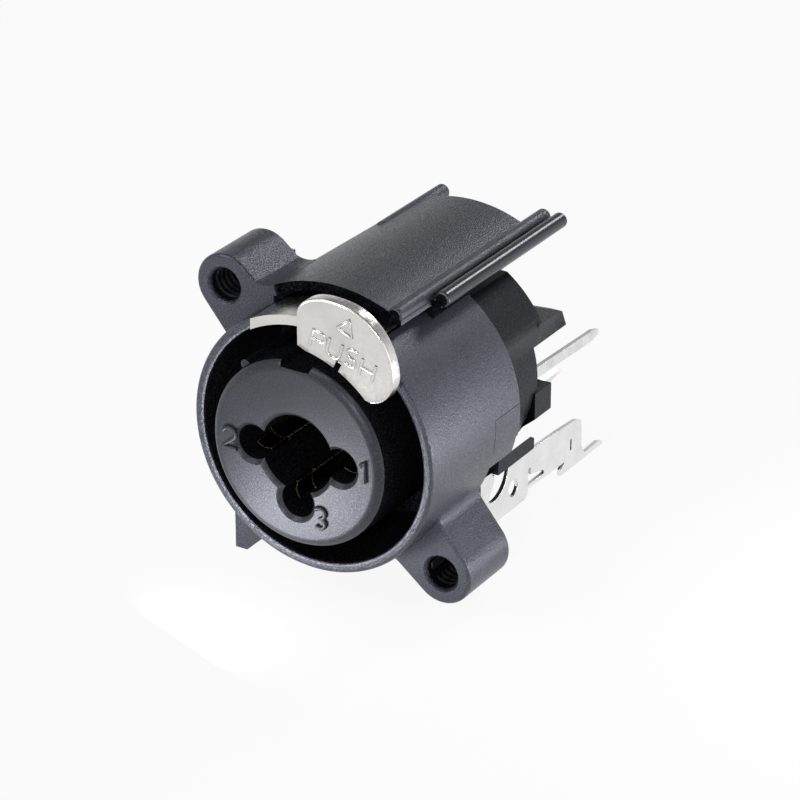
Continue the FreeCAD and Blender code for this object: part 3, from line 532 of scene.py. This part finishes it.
def raised_sign(name, sign, centre, style, body, material):
    """A sign as rounded strokes on a face that looks along -Y, with its middle at (x, y, z)."""
    curve = bpy.data.curves.new(name, "CURVE")
    curve.dimensions = "3D"
    curve.bevel_depth = style["thickness"] / 2 * MM
    curve.bevel_resolution = 3
    curve.use_fill_caps = True
    points = [point for stroke in STROKES[sign] for point in stroke]
    middle = [(min(p[k] for p in points) + max(p[k] for p in points)) / 2 for k in (0, 1)]
    cos = math.cos(math.radians(style["tilt"]))
    sin = math.sin(math.radians(style["tilt"]))
    for stroke in STROKES[sign]:
        spline = curve.splines.new("POLY")
        spline.points.add(len(stroke) - 1)
        for point, (u, v) in zip(spline.points, stroke):
            along = (u - middle[0]) * style["height"] * style["width"]
            up = (v - middle[1]) * style["height"]
            x = centre[0] + along * cos - up * sin
            z = centre[2] + along * sin + up * cos
            point.co = (*(Vector((x, centre[1], z)) * MM), 1.0)
    curve.materials.append(material)
    piece = new_object(name, curve)
    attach(piece, body)


def point_around(work, x, y, z, radius, turn):
    """A new point at this radius and turn in radians from a line along Y, in millimetres."""
    return work.verts.new(Vector((x + radius * math.cos(turn), y, z + radius * math.sin(turn))) * MM)


def closed_strip(work, rows):
    """Faces from each ring of points to the next, with both ends closed."""
    count = len(rows[0])
    for first, second in zip(rows, rows[1:]):
        for k in range(count):
            after = (k + 1) % count
            work.faces.new((first[k], first[after], second[after], second[k]))
    work.faces.new(rows[0])
    work.faces.new(rows[-1][::-1])


def object_from(work, name, material):
    """An object made of this bmesh, which is freed."""
    bmesh.ops.recalc_face_normals(work, faces=work.faces)
    mesh = bpy.data.meshes.new(name)
    work.to_mesh(mesh)
    work.free()
    mesh.materials.append(material)
    return new_object(name, mesh)


def contact_lip(name, angle, start, end):
    """Thin lip on a sleeve contact that leads the pin in, along an arc of its front edge in degrees."""
    x = PIN_CIRCLE_R * math.cos(math.radians(angle))
    z = PIN_CIRCLE_R * math.sin(math.radians(angle))
    inner_r = SLEEVE_R - LIP_WALL
    section = ((SLEEVE_R, LIP_FRONT_Y), (inner_r, LIP_FRONT_Y), (inner_r, LIP_REAR_Y), (SLEEVE_R, LIP_REAR_Y))
    work = bmesh.new()
    rows = []
    for i in range(LIP_STEPS + 1):
        turn = math.radians(start + (end - start) * i / LIP_STEPS)
        rows.append([point_around(work, x, y, z, radius, turn) for radius, y in section])
    closed_strip(work, rows)
    piece = object_from(work, name, CONTACT)
    edges = piece.modifiers.new("edges", "BEVEL")
    edges.width = LIP_ROUNDING * MM
    edges.segments = 2
    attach(piece, "root")


def screw_thread(name, x, z, gap_middle):
    """Ridges that a thread forming screw leaves in its hole, open where the ground strip or plate shows."""
    root_r = HOLE_R + THREAD_ROOT
    work = bmesh.new()
    for number in range(int((EAR_DEPTH - THREAD_BARE_ENDS) / THREAD_PITCH)):
        rows = []
        for i in range(THREAD_STEPS + 1):
            angle = gap_middle + THREAD_GAP + (360 - 2 * THREAD_GAP) * i / THREAD_STEPS
            y = THREAD_START_Y + THREAD_PITCH * (number + angle / 360.0)
            taper = min(1.0, i / THREAD_TAPER_STEPS, (THREAD_STEPS - i) / THREAD_TAPER_STEPS)
            section = ((root_r, -THREAD_HALF), (HOLE_R - THREAD_CREST * taper, 0.0), (root_r, THREAD_HALF))
            rows.append([point_around(work, x, y + shift, z, radius, math.radians(angle))
                         for radius, shift in section])
        closed_strip(work, rows)
    piece = object_from(work, name, THREAD_SHADE_BLACK)
    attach(piece, "root")


# Stage

def pale_floor():
    """A matt floor that shows as nearly plain white."""
    material, tree, shader = new_material("floor")
    output = next(n for n in tree.nodes if n.type == "OUTPUT_MATERIAL")
    shader.inputs["Base Color"].default_value = (FLOOR_GREY, FLOOR_GREY, FLOOR_GREY, 1.0)
    shader.inputs["Roughness"].default_value = FLOOR_ROUGHNESS
    glow = tree.nodes.new("ShaderNodeEmission")
    glow.inputs["Color"].default_value = (1, 1, 1, 1)
    blend = tree.nodes.new("ShaderNodeMixShader")
    seen = any_ray(tree, "Is Camera Ray", "Is Glossy Ray", "Is Transmission Ray")
    tree.links.new(ramp(tree, seen, 0, 1, 0.0, FLOOR_GLOW), blend.inputs[0])
    tree.links.new(shader.outputs[0], blend.inputs[1])
    tree.links.new(glow.outputs[0], blend.inputs[2])
    tree.links.new(blend.outputs[0], output.inputs[0])
    mesh = bpy.data.meshes.new("floor")
    half = FLOOR_HALF * MM
    corners = ((-half, -half), (half, -half), (half, half), (-half, half))
    mesh.from_pydata([(x, y, FLOOR_Z * MM) for x, y in corners], [], [(0, 1, 2, 3)])
    mesh.materials.append(material)
    new_object("floor", mesh)


def studio_world():
    """A surround that is white to the camera, dimmer overhead in mirrors, and half as bright as light."""
    world = bpy.data.worlds.new("studio")
    bpy.context.scene.world = world
    world.use_nodes = True
    tree = world.node_tree
    tree.nodes.clear()
    output = tree.nodes.new("ShaderNodeOutputWorld")
    background = tree.nodes.new("ShaderNodeBackground")
    background.inputs["Color"].default_value = (1, 1, 1, 1)
    place = tree.nodes.new("ShaderNodeTexCoord")
    split = tree.nodes.new("ShaderNodeSeparateXYZ")
    tree.links.new(place.outputs["Generated"], split.inputs[0])
    overhead = ramp(tree, split.outputs["Z"], 0.0, 0.55, 1.0, 0.25)
    strength = calculated(tree, "MAXIMUM", overhead, any_ray(tree, "Is Camera Ray"))
    shown = any_ray(tree, "Is Camera Ray", "Is Glossy Ray", "Is Transmission Ray")
    level = calculated(tree, "MULTIPLY", strength, ramp(tree, shown, 0, 1, 0.5, 1.0))
    tree.links.new(level, background.inputs["Strength"])
    tree.links.new(background.outputs[0], output.inputs[0])


def lamps():
    """Soft square lamps that look at the origin and are hidden from the camera."""
    for name, place, size, power in LAMPS:
        lamp = bpy.data.lights.new(name, "AREA")
        lamp.size = size
        lamp.energy = power
        thing = new_object(name, lamp)
        thing.location = place
        thing.rotation_mode = "QUATERNION"
        thing.rotation_quaternion = (-Vector(place)).to_track_quat("-Z", "Y")
        thing.visible_camera = False


def camera():
    """The camera at the photo's place and angle."""
    azimuth = math.radians(CAMERA_AZIMUTH)
    elevation = math.radians(CAMERA_ELEVATION)
    back = Vector((math.sin(azimuth) * math.cos(elevation), -math.cos(azimuth) * math.cos(elevation),
                   math.sin(elevation)))
    right = Vector((math.cos(azimuth), math.sin(azimuth), 0.0))
    up = back.cross(right)
    data = bpy.data.cameras.new("camera")
    data.lens = CAMERA_LENS
    data.sensor_width = SENSOR
    data.clip_start = CAMERA_NEAR * MM
    data.clip_end = CAMERA_FAR * MM
    thing = new_object("camera", data)
    turn = Matrix((right, up, back)).transposed().to_4x4()
    thing.matrix_world = Matrix.Translation(Vector(CAMERA_PLACE) * MM) @ turn
    bpy.context.scene.camera = thing


bpy.context.scene.view_settings.view_transform = "Standard"
camera()
pale_floor()
studio_world()
lamps()

# How far each piece's edges are rounded, in millimetres
finished("front_housing", 0.12, surface=housing_surface, more=(PAINTED_SHADE_BLACK, RAIL_BLACK))
finished("contact_insert", 0.08, surface=insert_surface, more=(PAINTED_SHADE_BLACK,))
finished("rear_carrier", 0.10, surface=carrier_surface, more=(PAINTED_SHADE_BLACK, HOUSING_BLACK))
finished("push_latch", 0.09, shape=rounded_tab)
finished("latch_hook", 0.08)
finished("ground_plate", 0.05)
for pin in (1, 2, 3):
    finished(f"pin_contact_{pin}", 0.04)
for node_name in nodes:
    if not nodes[node_name].hide_render:
        dressed(node_name)

for sign, x, z in TAB_LETTERS:
    raised_sign("letter_" + sign, sign, (x, TAB_SIGN_Y, z), LETTER_STYLE, "latch", NICKEL)
raised_sign("press_mark", "triangle", (PRESS_MARK[0], TAB_SIGN_Y, PRESS_MARK[1]), MARK_STYLE,
            "latch", NICKEL)
for sign, x, z in DIGITS:
    raised_sign("digit_" + sign, sign, (x, DIGIT_Y, z), DIGIT_STYLE, "root", INSERT_BLACK)
for pin, angle, start, end in LIPS:
    contact_lip(f"pin_lip_{pin}", angle, start, end)
screw_thread("lower_screw_thread", EAR_CENTRE, -EAR_CENTRE, 180.0)
screw_thread("upper_screw_thread", -EAR_CENTRE, EAR_CENTRE, 0.0)
